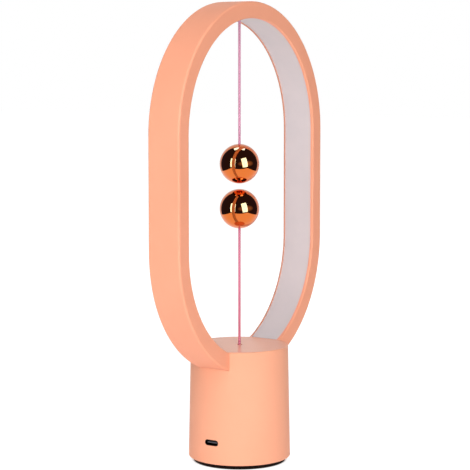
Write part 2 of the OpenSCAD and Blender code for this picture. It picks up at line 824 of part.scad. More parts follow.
module pull_slider() {
  color(dark_plastic) difference() {
    union() {
      translate([0, 0, slider_bottom]) cylinder(r = slider_r, h = slider_l);
      translate([0, 0, nose_bottom + stem_r])
        cylinder(r = stem_r, h = slider_bottom - nose_bottom - stem_r + 1, $fn = 48);
      translate([0, 0, nose_bottom + stem_r]) sphere(stem_r, $fn = 48);
    }
    translate([0, 0, pocket_top - 1]) cylinder(r = cord_d / 2 + cord_fit, h = slider_l, $fn = 32);
    translate([0, 0, pocket_top - pocket_h]) cylinder(r = pocket_r, h = pocket_h, $fn = 48);
    translate([0, -pocket_r, pocket_top - pocket_h]) cube([slider_r + 1, 2 * pocket_r, pocket_h]);
  }
}

// The spring's tube: its ends lie on the slider and under the base's top
spring_r = spring_d / 2;
spring_z0 = slider_top + spring_wire / 2 + touch_gap / 2;
spring_z1 = top_under - spring_wire / 2 - touch_gap / 2;
spring_rise = (spring_z1 - spring_z0) / spring_turns;
spring_rings = 8;
spring_sides = 6;
spring_steps = floor(spring_turns * spring_rings);
function spring_at(i) = let (a = 360 * i / spring_rings)
  [spring_r * cos(a), spring_r * sin(a), spring_z0 + spring_rise * i / spring_rings];
spring_points = [
  for (i = [0 : spring_steps], k = [0 : spring_sides - 1])
    let (a = 360 * i / spring_rings, b = 360 * k / spring_sides, r = spring_r + spring_wire / 2 * cos(b))
    [r * cos(a), r * sin(a), spring_at(i)[2] + spring_wire / 2 * sin(b)]
];
spring_gap = min([
  for (i = [0 : spring_steps - spring_rings]) norm(spring_at(i + spring_rings) - spring_at(i)) - spring_wire
]);
echo(str("return spring, least gap between its turns: ", spring_gap, " mm"));

module return_spring() {
  color(steel) polyhedron(spring_points, tube_faces(spring_steps + 1, spring_sides));
}

module switch_cord() {
  color(cord_pink) translate([0, 0, pocket_top])
    cylinder(r = cord_d / 2, h = lower_pivot - bend_r - bend_gap - pocket_top, $fn = 32);
}

module slider_knot() {
  color(cord_pink) translate([0, 0, pocket_top]) knot();
}

module micro_switch() {
  color(dark_plastic) difference() {
    union() {
      translate([switch_x0, -switch_w / 2, switch_bottom]) cube([switch_l, switch_w, switch_h]);
      for (side = [0, 1]) mirror([0, side, 0]) translate([lever_arm, lever_w / 2 + running_fit, 0]) {
        translate([0, 0, pin_z]) rotate([-90, 0, 0]) cylinder(r = lug_r, h = lug_t, $fn = 32);
        translate([-lug_r, 0, switch_top - lug_t]) cube([2 * lug_r, lug_t, pin_z - switch_top + lug_t]);
      }
    }
    translate([plunger_x, 0, plunger_top - plunger_l - plunger_travel - touch_gap])
      cylinder(r = plunger_r + running_fit, h = plunger_l + plunger_travel, $fn = 32);
    for (x = switch_screw_x) translate([x, -switch_w, switch_screw_z]) rotate([-90, 0, 0])
      cylinder(r = switch_screw_r + screw_fit, h = 2 * switch_w, $fn = 32);
    translate([lever_arm, -switch_w, pin_z]) rotate([-90, 0, 0])
      cylinder(r = pin_r + screw_fit, h = 2 * switch_w, $fn = 32);
  }
}

module switch_terminals() {
  color(steel) for (x = terminal_x)
    translate([x - terminal_t / 2, -terminal_w / 2, switch_bottom - terminal_l])
      cube([terminal_t, terminal_w, terminal_l]);
}

module switch_plunger() {
  color(white_plastic) {
    translate([plunger_x, 0, plunger_top - plunger_l])
      cylinder(r = plunger_r, h = plunger_l - plunger_r, $fn = 32);
    translate([plunger_x, 0, plunger_top - plunger_r]) sphere(plunger_r, $fn = 32);
  }
}

module switch_lever() {
  color(steel) translate([lever_arm, 0, pin_z]) rotate([0, lever_angle, 0]) difference() {
    union() {
      translate([-lever_arm - lever_tip, -lever_w / 2, -lever_t / 2])
        cube([lever_arm + lever_tip, lever_w, lever_t]);
      rotate([90, 0, 0]) cylinder(r = barrel_r, h = lever_w, center = true, $fn = 32);
    }
    rotate([90, 0, 0]) cylinder(r = pin_r + running_fit, h = lever_w + 2, center = true, $fn = 32);
  }
}

module lever_pin() {
  color(steel) translate([lever_arm, 0, pin_z]) rotate([90, 0, 0])
    cylinder(r = pin_r, h = lever_w + 2 * lug_t + 2 * running_fit, center = true, $fn = 32);
}

module switch_screws() {
  color(steel) for (x = switch_screw_x) translate([x, -switch_w / 2, switch_screw_z]) rotate([-90, 0, 0])
    screw(switch_screw_r, switch_screw_head_r, switch_w + shelf_t);
}

module switch_wires() {
  color([0.75, 0.1, 0.1]) for (i = [0, 1]) translate([terminal_x[i], 0, board_top + socket_h])
    cylinder(r = wire_r, h = switch_bottom - terminal_l - board_top - socket_h, $fn = 32);
}

// Each wire leaves the strip's end level, bends down and runs to its socket
module led_wires() {
  run_z = strip_end_z + wire_r + wire_lift;
  color([0.75, 0.1, 0.1]) for (side = [-1, 1]) translate([led_wire_x, side * led_wire_y, 0]) {
    translate([0, 0, board_top + socket_h])
      cylinder(r = wire_r, h = run_z - led_wire_bend - board_top - socket_h, $fn = 32);
    translate([-led_wire_bend, 0, run_z - led_wire_bend]) rotate([90, 0, 0])
      rotate_extrude(angle = 90) translate([led_wire_bend, 0]) circle(wire_r, $fn = 32);
    translate([-strip_end_x - wire_lap - led_wire_x, 0, run_z]) rotate([0, 90, 0])
      cylinder(r = wire_r, h = strip_end_x + wire_lap + led_wire_x - led_wire_bend, $fn = 32);
  }
}

base_shell();
bottom_cover();
foot_pad();
ballast_weight();
cover_screws();
main_board();
board_screws();
usb_socket();
usb_tongue();
driver_chip();
inductor();
capacitors();
wire_sockets();
ring_shell();
ring_back_cover();
diffuser();
led_strip();
led_chips();
ring_clamps();
clamp_screws();
led_wires();
cord_anchor();
anchor_knot();
upper_cord_bend();
upper_cord();
upper_ball();
upper_ball_knot();
upper_magnet();
upper_magnet_cup();
lower_cord_bend();
lower_cord();
lower_ball();
lower_ball_knot();
lower_magnet();
lower_magnet_cup();
switch_guide();
guide_screws();
pull_slider();
return_spring();
switch_cord();
slider_knot();
micro_switch();
switch_terminals();
switch_plunger();
switch_lever();
lever_pin();
switch_screws();
switch_wires();
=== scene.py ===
import math

import bpy
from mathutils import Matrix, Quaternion, Vector


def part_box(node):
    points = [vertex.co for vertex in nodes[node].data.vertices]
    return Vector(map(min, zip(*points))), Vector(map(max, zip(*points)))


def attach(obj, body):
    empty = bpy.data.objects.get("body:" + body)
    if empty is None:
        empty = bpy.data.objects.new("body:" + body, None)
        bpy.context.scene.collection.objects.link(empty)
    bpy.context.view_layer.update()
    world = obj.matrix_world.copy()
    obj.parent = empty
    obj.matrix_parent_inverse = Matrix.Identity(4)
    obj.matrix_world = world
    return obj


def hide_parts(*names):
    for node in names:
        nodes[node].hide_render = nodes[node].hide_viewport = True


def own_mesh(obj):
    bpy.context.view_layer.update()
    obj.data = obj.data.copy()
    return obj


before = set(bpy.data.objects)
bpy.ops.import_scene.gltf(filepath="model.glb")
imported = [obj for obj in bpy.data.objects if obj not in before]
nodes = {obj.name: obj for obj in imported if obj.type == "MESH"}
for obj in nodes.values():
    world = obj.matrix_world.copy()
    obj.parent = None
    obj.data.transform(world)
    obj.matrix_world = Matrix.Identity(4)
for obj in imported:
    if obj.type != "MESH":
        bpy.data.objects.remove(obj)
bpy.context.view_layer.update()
print("frame loaded:", len(nodes), "nodes")

# the camera stands in front of the lamp's left side and looks a little down
camera = {"place": (-0.80012, -0.52558, 0.2286), "yaw": 56.70, "pitch": 5.75, "lens": 126.96,
          "shift": -0.00945, "nearest": 0.05, "farthest": 20}


def makeCamera():
    yaw, pitch = math.radians(camera["yaw"]), math.radians(camera["pitch"])
    look = Vector((math.sin(yaw) * math.cos(pitch), math.cos(yaw) * math.cos(pitch), -math.sin(pitch)))
    bpy.ops.object.camera_add(location=camera["place"])
    cam = bpy.context.object
    cam.name = "photoCamera"
    cam.rotation_euler = look.to_track_quat("-Z", "Y").to_euler()
    cam.data.lens = camera["lens"]
    cam.data.shift_x = camera["shift"]
    cam.data.clip_start, cam.data.clip_end = camera["nearest"], camera["farthest"]
    bpy.context.scene.camera = cam


makeCamera()
print("camera made")


# what the materials share: nodes by name, and groups with named sockets
def addNode(tree, kind, **values):
    node = tree.nodes.new("ShaderNode" + kind)
    for name, value in values.items():
        if hasattr(node, name):
            setattr(node, name, value)
        else:
            node.inputs[name.replace("_", " ")].default_value = value
    return node


def addRamp(tree, factor, stops):
    ramp = addNode(tree, "ValToRGB")
    marks = ramp.color_ramp.elements
    for mark, (place, level) in ((marks[0], stops[0]), (marks[1], stops[-1])):
        mark.position, mark.color = place, (level, level, level, 1)
    for place, level in stops[1:-1]:
        marks.new(place).color = (level, level, level, 1)
    tree.links.new(factor, ramp.inputs["Fac"])
    return ramp.outputs["Color"]


def mixColours(tree, factor, first, second, blend="MIX"):
    mix = addNode(tree, "Mix", data_type="RGBA", blend_type=blend)
    for label, value in (("Factor", factor), ("A", first), ("B", second)):
        if isinstance(value, bpy.types.NodeSocket):
            tree.links.new(value, mix.inputs[label])
        else:
            mix.inputs[label].default_value = value
    return mix.outputs["Result"]


def newGroup(name, inputs, outputs):
    group = bpy.data.node_groups.new(name, "ShaderNodeTree")
    for label, kind, value in inputs:
        socket = group.interface.new_socket(label, in_out="INPUT", socket_type="NodeSocket" + kind)
        socket.default_value = value
    for label, kind in outputs:
        group.interface.new_socket(label, in_out="OUTPUT", socket_type="NodeSocket" + kind)
    return group, group.nodes.new("NodeGroupInput"), group.nodes.new("NodeGroupOutput")


def useGroup(tree, group, **values):
    node = tree.nodes.new("ShaderNodeGroup")
    node.node_tree = group
    for name, value in values.items():
        node.inputs[name].default_value = value
    return node


def newMaterial(name, **values):
    material = bpy.data.materials.new(name)
    material.use_nodes = True
    shader = material.node_tree.nodes["Principled BSDF"]
    for label, value in values.items():
        shader.inputs[label.replace("_", " ")].default_value = value
    return material, material.node_tree, shader


# fine grain of a spark-eroded mould, with a slow drift of colour. The pits are wider than the grain, and
# the grain's crests are duller than its hollows
grainForm = {"pitScale": 0.55, "pitShare": 0.5, "bump": 0.00008, "hollow": 0.4, "crest": 1.0,
             "driftStops": [(0.35, 0.0), (0.65, 1.0)]}


def buildMouldGrain():
    group, inside, outside = newGroup("mouldGrain", [
        ("Colour", "Color", (0.8, 0.8, 0.8, 1)), ("Drift", "Color", (0.7, 0.7, 0.7, 1)),
        ("DriftSize", "Float", 30.0), ("GrainSize", "Float", 2500.0), ("GrainDepth", "Float", 0.2),
        ("Dull", "Float", 0.5), ("Shiny", "Float", 0.4)],
        [("Colour", "Color"), ("Roughness", "Float"), ("Normal", "Vector")])
    place = addNode(group, "TexCoord")
    drift = addNode(group, "TexNoise", Detail=3.0, Roughness=0.55)
    grain = addNode(group, "TexNoise", Detail=2.0, Roughness=0.6)
    pits = addNode(group, "TexVoronoi")
    wider = addNode(group, "Math", operation="MULTIPLY")
    wider.inputs[1].default_value = grainForm["pitScale"]
    for noise in (drift, grain, pits):
        group.links.new(place.outputs["Object"], noise.inputs["Vector"])
    group.links.new(inside.outputs["DriftSize"], drift.inputs["Scale"])
    group.links.new(inside.outputs["GrainSize"], grain.inputs["Scale"])
    group.links.new(inside.outputs["GrainSize"], wider.inputs[0])
    group.links.new(wider.outputs[0], pits.inputs["Scale"])
    height = addNode(group, "Math", operation="MULTIPLY_ADD")
    height.inputs[1].default_value = grainForm["pitShare"]
    group.links.new(pits.outputs["Distance"], height.inputs[0])
    group.links.new(grain.outputs["Fac"], height.inputs[2])
    bump = addNode(group, "Bump", Distance=grainForm["bump"])
    group.links.new(height.outputs[0], bump.inputs["Height"])
    group.links.new(inside.outputs["GrainDepth"], bump.inputs["Strength"])
    slow = addRamp(group, drift.outputs["Fac"], grainForm["driftStops"])
    tint = mixColours(group, slow, inside.outputs["Colour"], inside.outputs["Drift"])
    group.links.new(tint, outside.inputs["Colour"])
    gloss = addNode(group, "MapRange", From_Min=grainForm["hollow"], From_Max=grainForm["crest"])
    group.links.new(height.outputs[0], gloss.inputs["Value"])
    group.links.new(inside.outputs["Shiny"], gloss.inputs["To Min"])
    group.links.new(inside.outputs["Dull"], gloss.inputs["To Max"])
    group.links.new(gloss.outputs["Result"], outside.inputs["Roughness"])
    group.links.new(bump.outputs["Normal"], outside.inputs["Normal"])
    return group


# faint smears of handling on polished metal, over a slow wave of its surface
handlingForm = {"waveSize": 260.0, "bump": 0.00005, "smearStops": [(0.5, 0.0), (0.7, 1.0)]}


def buildHandling():
    group, inside, outside = newGroup("handling", [
        ("Clean", "Float", 0.03), ("Smeared", "Float", 0.08), ("SmearSize", "Float", 120.0),
        ("WaveDepth", "Float", 0.02)],
        [("Roughness", "Float"), ("Normal", "Vector")])
    place = addNode(group, "TexCoord")
    smear = addNode(group, "TexNoise", Detail=4.0, Roughness=0.6, Distortion=1.2)
    wave = addNode(group, "TexNoise", Scale=handlingForm["waveSize"], Detail=1.0)
    group.links.new(place.outputs["Object"], smear.inputs["Vector"])
    group.links.new(place.outputs["Object"], wave.inputs["Vector"])
    group.links.new(inside.outputs["SmearSize"], smear.inputs["Scale"])
    mask = addRamp(group, smear.outputs["Fac"], handlingForm["smearStops"])
    spread = addNode(group, "MapRange")
    group.links.new(mask, spread.inputs["Value"])
    group.links.new(inside.outputs["Clean"], spread.inputs["To Min"])
    group.links.new(inside.outputs["Smeared"], spread.inputs["To Max"])
    group.links.new(spread.outputs["Result"], outside.inputs["Roughness"])
    bump = addNode(group, "Bump", Distance=handlingForm["bump"])
    group.links.new(wave.outputs["Fac"], bump.inputs["Height"])
    group.links.new(inside.outputs["WaveDepth"], bump.inputs["Strength"])
    group.links.new(bump.outputs["Normal"], outside.inputs["Normal"])
    return group


mouldGrain = buildMouldGrain()
handling = buildHandling()


def grainMaterial(name, colour, drift, dull, shiny, grainSize=2500.0, grainDepth=0.2, driftSize=30.0,
                  **values):
    material, tree, shader = newMaterial(name, **values)
    grain = useGroup(tree, mouldGrain, Colour=(*colour, 1), Drift=(*drift, 1), Dull=dull, Shiny=shiny,
                     GrainSize=grainSize, GrainDepth=grainDepth, DriftSize=driftSize)
    tree.links.new(grain.outputs["Colour"], shader.inputs["Base Color"])
    tree.links.new(grain.outputs["Roughness"], shader.inputs["Roughness"])
    tree.links.new(grain.outputs["Normal"], shader.inputs["Normal"])
    return material


def metalMaterial(name, colour, clean, smeared, **values):
    material, tree, shader = newMaterial(name, Base_Color=(*colour, 1), Metallic=1.0, **values)
    marks = useGroup(tree, handling, Clean=clean, Smeared=smeared)
    tree.links.new(marks.outputs["Roughness"], shader.inputs["Roughness"])
    tree.links.new(marks.outputs["Normal"], shader.inputs["Normal"])
    return material


peach = {"colour": (0.945, 0.390, 0.239), "drift": (0.925, 0.376, 0.228), "dull": 0.68, "shiny": 0.58,
         "grainDepth": 0.15, "Specular_IOR_Level": 0.5, "Sheen_Weight": 0.05, "Sheen_Roughness": 0.3}

# the base is a little paler than the ring. Its top is a smoother satin with a few fine scratches that run
# one way, and its wall is grained
baseTone = {"colour": (0.94, 0.412, 0.253), "drift": (0.92, 0.397, 0.242)}
satinTop = {"gloss": 0.38, "band": 0.0006, "scratchSize": 340.0, "scratchDepth": 0.12, "scratchTurn": 35,
            "scratchStretch": 0.04, "scratchStops": [(0.66, 0.0), (0.72, 1.0)], "bump": 0.0001}


def makeBaseFinish():
    material = grainMaterial("peachBase", **{**peach, **baseTone})
    tree = material.node_tree
    shader = tree.nodes["Principled BSDF"]
    rough = shader.inputs["Roughness"].links[0].from_socket
    normal = shader.inputs["Normal"].links[0].from_socket
    place = addNode(tree, "TexCoord")
    parts = addNode(tree, "SeparateXYZ")
    tree.links.new(place.outputs["Object"], parts.inputs[0])
    onTop = addNode(tree, "Math", operation="GREATER_THAN")
    onTop.inputs[1].default_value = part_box("base_shell")[1].z - satinTop["band"]
    tree.links.new(parts.outputs["Z"], onTop.inputs[0])
    share = addNode(tree, "MapRange", To_Min=1.0, To_Max=satinTop["gloss"])
    tree.links.new(onTop.outputs[0], share.inputs["Value"])
    smoother = addNode(tree, "Math", operation="MULTIPLY")
    tree.links.new(rough, smoother.inputs[0])
    tree.links.new(share.outputs["Result"], smoother.inputs[1])
    tree.links.new(smoother.outputs[0], shader.inputs["Roughness"])
    stretch = addNode(tree, "Mapping")
    stretch.inputs["Rotation"].default_value[2] = math.radians(satinTop["scratchTurn"])
    stretch.inputs["Scale"].default_value = (1, satinTop["scratchStretch"], 1)
    tree.links.new(place.outputs["Object"], stretch.inputs["Vector"])
    lines = addNode(tree, "TexNoise", Scale=satinTop["scratchSize"], Detail=2.0, Distortion=0.4)
    tree.links.new(stretch.outputs["Vector"], lines.inputs["Vector"])
    thin = addRamp(tree, lines.outputs["Fac"], satinTop["scratchStops"])
    here = addNode(tree, "Math", operation="MULTIPLY")
    tree.links.new(thin, here.inputs[0])
    tree.links.new(onTop.outputs[0], here.inputs[1])
    scratch = addNode(tree, "Bump", Strength=satinTop["scratchDepth"], Distance=satinTop["bump"])
    tree.links.new(here.outputs[0], scratch.inputs["Height"])
    tree.links.new(normal, scratch.inputs["Normal"])
    tree.links.new(scratch.outputs["Normal"], shader.inputs["Normal"])
    return material


# the back cover's edge inside the ring gets painted shade: a darker, browner band stands for the shade in
# the seam over the diffuser. Measured from the back, the painted shade band starts halfway down the edge's
# rounding and ends just short of the step over the diffuser
coverEdgeShade = {"colour": (0.58, 0.27, 0.19), "starts": 0.00015, "ends": 0.00079}


def makeCoverWithEdgeShade():
    material = grainMaterial("peachCoverEdgeShaded", **peach)
    tree = material.node_tree
    shader = tree.nodes["Principled BSDF"]
    colour = shader.inputs["Base Color"].links[0].from_socket
    place = addNode(tree, "TexCoord")
    parts = addNode(tree, "SeparateXYZ")
    tree.links.new(place.outputs["Object"], parts.inputs[0])
    back, starts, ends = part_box("ring_back_cover")[1].y, coverEdgeShade["starts"], coverEdgeShade["ends"]
    edgeShadeBand = addNode(tree, "Math", operation="COMPARE")
    edgeShadeBand.inputs[1].default_value = back - (starts + ends) / 2
    edgeShadeBand.inputs[2].default_value = (ends - starts) / 2
    tree.links.new(parts.outputs["Y"], edgeShadeBand.inputs[0])
    # painted shade: the band on the cover's edge is mixed to a darker brown for the shade in the seam
    edgeShaded = mixColours(tree, edgeShadeBand.outputs[0], colour, (*coverEdgeShade["colour"], 1))
    tree.links.new(edgeShaded, shader.inputs["Base Color"])
    return material


# each grained finish: its colour, the colour it drifts to, and its roughness on the crests and in the
# hollows. Each metal: its colour, and its roughness where it is clean and where it is smeared
grainMaterial("peachPlastic", **peach)
makeBaseFinish()
makeCoverWithEdgeShade()
grainMaterial("milkyPlastic", (0.678, 0.598, 0.605), (0.642, 0.572, 0.584), 0.62, 0.50, grainDepth=0.08,
              driftSize=45.0)
grainMaterial("whitePlastic", (0.78, 0.77, 0.74), (0.74, 0.73, 0.70), 0.45, 0.35)
grainMaterial("darkPlastic", (0.022, 0.022, 0.024), (0.03, 0.03, 0.032), 0.55, 0.42)
grainMaterial("tonguePlastic", (0.07, 0.07, 0.085), (0.085, 0.085, 0.10), 0.55, 0.45)
grainMaterial("blackRubber", (0.008, 0.004, 0.003), (0.012, 0.006, 0.004), 0.90, 0.78, grainSize=1400.0,
              grainDepth=0.5, Specular_IOR_Level=0.12)
grainMaterial("greenBoard", (0.012, 0.11, 0.045), (0.02, 0.15, 0.06), 0.35, 0.25, grainSize=900.0,
              driftSize=260.0)
grainMaterial("redWire", (0.55, 0.02, 0.015), (0.48, 0.018, 0.014), 0.45, 0.35)
grainMaterial("lightChip", (0.85, 0.72, 0.18), (0.80, 0.66, 0.14), 0.40, 0.30)
metalMaterial("brightSteel", (0.60, 0.60, 0.61), 0.22, 0.35)
metalMaterial("darkSteel", (0.02, 0.017, 0.016), 0.40, 0.50)
metalMaterial("canAluminium", (0.80, 0.80, 0.81), 0.28, 0.40)
copperMirror = metalMaterial("copperMirror", (0.85, 0.185, 0.014), 0.02, 0.045, Coat_Weight=0.5,
                             Coat_Roughness=0.02)
contactGold = metalMaterial("contactGold", (0.90, 0.62, 0.24), 0.18, 0.28)


# braided cord: the gaps between the yarns are painted darker than their crests, as painted shade in the
# grooves, and the colour is paler and cooler towards the top. The map's second axis is the height above the
# table, in units of mapUnit
cordColourAndShade = {"lowCrest": (0.88, 0.25, 0.38), "lowGapShade": (0.68, 0.15, 0.24),
       "highCrest": (0.82, 0.41, 0.585), "highGapShade": (0.64, 0.245, 0.395),
       "mapUnit": 0.01, "tallest": 30.0, "palerStops": [(0.23, 0.0), (0.45, 0.2), (0.62, 0.9), (0.85, 1.0)],
       "crestStops": [(0.25, 0.0), (0.95, 1.0)], "fibreStops": [(0.0, 0.82), (1.0, 1.0)],
       "fibreSize": 60.0, "fibreDepth": 0.3, "bump": 0.00005}


def cordMaterial(name):
    material, tree, shader = newMaterial(name, Sheen_Weight=0.15, Sheen_Roughness=0.4, Roughness=0.75)
    crestLevel = addNode(tree, "Attribute", attribute_name="yarnHeight")
    turns = addNode(tree, "UVMap", uv_map="cordUv")
    fibres = addNode(tree, "TexWave", wave_type="BANDS", bands_direction="DIAGONAL",
                     Scale=cordColourAndShade["fibreSize"], Distortion=2.0, Detail=2.0)
    tree.links.new(turns.outputs["UV"], fibres.inputs["Vector"])
    parts = addNode(tree, "SeparateXYZ")
    tree.links.new(turns.outputs["UV"], parts.inputs[0])
    share = addNode(tree, "Math", operation="DIVIDE")
    tree.links.new(parts.outputs["Y"], share.inputs[0])
    share.inputs[1].default_value = cordColourAndShade["tallest"]
    paler = addRamp(tree, share.outputs[0], cordColourAndShade["palerStops"])
    level = addRamp(tree, crestLevel.outputs["Fac"], cordColourAndShade["crestStops"])
    crest = mixColours(tree, paler, (*cordColourAndShade["lowCrest"], 1), (*cordColourAndShade["highCrest"], 1))
    gap = mixColours(tree, paler, (*cordColourAndShade["lowGapShade"], 1), (*cordColourAndShade["highGapShade"], 1))
    # painted shade: where the yarns are low, the darker gap colour stands for the shade between them
    yarn = mixColours(tree, level, gap, crest)
    streak = addRamp(tree, fibres.outputs["Fac"], cordColourAndShade["fibreStops"])
    tree.links.new(mixColours(tree, 1.0, yarn, streak, "MULTIPLY"), shader.inputs["Base Color"])
    bump = addNode(tree, "Bump", Strength=cordColourAndShade["fibreDepth"], Distance=cordColourAndShade["bump"])
    tree.links.new(fibres.outputs["Fac"], bump.inputs["Height"])
    tree.links.new(bump.outputs["Normal"], shader.inputs["Normal"])
    return material


pinkCord = cordMaterial("pinkCord")
print("materials built")


# cords: eight yarns braided over each other, four each way round. Their crests stand proud of the measured
# radius by fuller
cord = {"diameter": 0.0014, "yarns": 4, "lay": 0.0064, "around": 24, "ringStep": 0.00016,
        "yarnDepth": 0.00013, "overDepth": 0.00007, "fuller": 0.0001}


def yarnShape(across, along):
    rise = math.sqrt(max(0.0, 1 - (2 * (across % 1) - 1) ** 2))
    over = math.cos(math.pi * (along % 2)) * (1 if math.floor(across) % 2 else -1)
    return cord["yarnDepth"] * rise + cord["overDepth"] * over * rise


def makeBraid(name, low, high):
    rings = round((high - low) / cord["ringStep"])
    around, yarns = cord["around"], cord["yarns"]
    core = cord["diameter"] / 2 - cord["yarnDepth"] - cord["overDepth"] + cord["fuller"]
    vertices, heights = [], []
    for ring in range(rings + 1):
        z = low + (high - low) * ring / rings
        for k in range(around):
            turn, climb = k / around, (z - low) / cord["lay"]
            left, right = yarns * (turn + climb), yarns * (turn - climb)
            top = max(yarnShape(left, right), yarnShape(right, left + 1))
            angle = 2 * math.pi * turn
            vertices.append(((core + top) * math.cos(angle), (core + top) * math.sin(angle), z))
            heights.append(max(0.0, top) / (cord["yarnDepth"] + cord["overDepth"]))
    faces = [(r * around + k, r * around + (k + 1) % around, (r + 1) * around + (k + 1) % around,
              (r + 1) * around + k) for r in range(rings) for k in range(around)]
    faces += [tuple(range(around))[::-1], tuple(rings * around + k for k in range(around))]
    mesh = bpy.data.meshes.new(name)
    mesh.from_pydata(vertices, [], faces)
    # the yarns' height, which sets how much painted shade the gaps get
    mesh.attributes.new("yarnHeight", "FLOAT", "POINT").data.foreach_set("value", heights)
    uvs = mesh.uv_layers.new(name="cordUv")
    for face in mesh.polygons:
        for loop, vertex in zip(face.loop_indices, face.vertices):
            turn = (vertex % around) / around
            if vertex % around == 0 and max(v % around for v in face.vertices) > around / 2:
                turn = 1.0
            uvs.data[loop].uv = (turn, vertices[vertex][2] / cordColourAndShade["mapUnit"])
    mesh.shade_smooth()
    piece = bpy.data.objects.new(name, mesh)
    bpy.context.scene.collection.objects.link(piece)
    mesh.materials.append(pinkCord)
    return piece


def makeCords():
    bendLow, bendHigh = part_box("lower_cord_bend")
    lowEnd, topEnd = bendLow.z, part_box("lower_cord")[1].z
    lower = makeBraid("lowerCord", lowEnd, topEnd)
    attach(lower, "lower_cord")
    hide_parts("lower_cord", "lower_cord_bend")
    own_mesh(lower)

    lowEnd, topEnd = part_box("upper_cord")[0].z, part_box("upper_cord_bend")[1].z
    upper = makeBraid("upperCord", lowEnd, topEnd)
    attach(upper, "upper_ball")
    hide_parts("upper_cord", "upper_cord_bend")

    low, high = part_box("switch_cord")
    inner = makeBraid("innerCord", low.z, high.z)
    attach(inner, "pull_slider")
    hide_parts("switch_cord")


makeCords()
print("cords made")


def selectNothing():
    bpy.ops.object.select_all(action="DESELECT")


def applyPlace():
    bpy.ops.object.transform_apply(location=True, rotation=True, scale=True)


# balls: a plated shell with a small hole where its cord goes in. The hole's lip is dressed in two steps,
# as shares of its width: it narrows to lipWaist at a depth of lipFirst, and to nothing lipSecond deeper
ball = {"radius": 0.0115, "wall": 0.0015, "hole": 0.0009, "lip": 0.00018, "lipWaist": 0.3,
        "lipFirst": 0.4, "lipSecond": 0.8, "segments": 128, "rows": 64, "sharp": 50}
mirrorBalls = bpy.data.collections.new("mirrorBalls")  # the bright cards of the studio show in these alone


def makeBall(name, node, body, holeUp):
    low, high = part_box(node)
    middle = (low + high) / 2
    side = 1 if holeUp else -1
    selectNothing()
    bpy.ops.mesh.primitive_uv_sphere_add(segments=ball["segments"], ring_count=ball["rows"],
                                         radius=ball["radius"], location=(0, 0, middle.z))
    piece = bpy.context.object
    piece.name = name
    applyPlace()
    bpy.ops.object.mode_set(mode="EDIT")
    bpy.ops.mesh.select_all(action="SELECT")
    mouth, waist = ball["hole"] + ball["lip"], ball["hole"] + ball["lip"] * ball["lipWaist"]
    cut = math.sqrt(ball["radius"] ** 2 - mouth ** 2)
    bpy.ops.mesh.bisect(plane_co=(0, 0, middle.z + side * cut), plane_no=(0, 0, side), clear_outer=True)
    for share, wide, narrow in ((ball["lipFirst"], mouth, waist), (ball["lipSecond"], waist, ball["hole"])):
        inward = (0, 0, -side * ball["lip"] * share)
        bpy.ops.mesh.extrude_region_move(TRANSFORM_OT_translate={"value": inward})
        bpy.ops.transform.resize(value=(narrow / wide, narrow / wide, 1), center_override=(0, 0, middle.z))
    bpy.ops.mesh.select_all(action="SELECT")
    bpy.ops.mesh.normals_make_consistent(inside=False)
    bpy.ops.object.mode_set(mode="OBJECT")
    bpy.ops.object.modifier_add(type="SOLIDIFY")
    shell = piece.modifiers[-1]
    shell.thickness, shell.offset, shell.use_even_offset = ball["wall"], -1, True
    bpy.ops.object.modifier_apply(modifier=shell.name)
    bpy.ops.object.shade_smooth_by_angle(angle=math.radians(ball["sharp"]))
    piece.data.materials.clear()
    piece.data.materials.append(copperMirror)
    mirrorBalls.objects.link(piece)
    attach(piece, body)
    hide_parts(node)


makeBall("upperBall", "upper_ball", "upper_ball", True)
makeBall("lowerBall", "lower_ball", "lower_ball", False)
print("balls made")


# gold contacts on both faces of the port's tongue
contact = {"count": 12, "pitch": 0.0005, "width": 0.00026, "length": 0.0026, "height": 0.00004,
           "back": 0.0006, "half": 0.00035, "roundShare": 0.4, "sharp": 30}


def makeContacts():
    low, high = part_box("usb_tongue")
    middle = (low.z + high.z) / 2
    made = []
    for face in (1, -1):
        for k in range(contact["count"]):
            x = low.x + contact["back"] + contact["length"] / 2
            y = (k - (contact["count"] - 1) / 2) * contact["pitch"]
            selectNothing()
            bpy.ops.mesh.primitive_cube_add(size=1, location=(x, y, middle + face * contact["half"]))
            pad = bpy.context.object
            pad.scale = (contact["length"], contact["width"], contact["height"] * 2)
            applyPlace()
            bpy.ops.object.mode_set(mode="EDIT")
            bpy.ops.mesh.select_all(action="SELECT")
            bpy.ops.mesh.bevel(offset=contact["height"] * contact["roundShare"], segments=2)
            bpy.ops.object.mode_set(mode="OBJECT")
            made.append(pad)
    selectNothing()
    for pad in made:
        pad.select_set(True)
    bpy.context.view_layer.objects.active = made[0]
    bpy.ops.object.join()
    piece = bpy.context.object
    piece.name = "portContacts"
    bpy.ops.object.shade_smooth_by_angle(angle=math.radians(contact["sharp"]))
    piece.data.materials.append(contactGold)
    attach(piece, "lamp_body")


makeContacts()
print("contacts made")

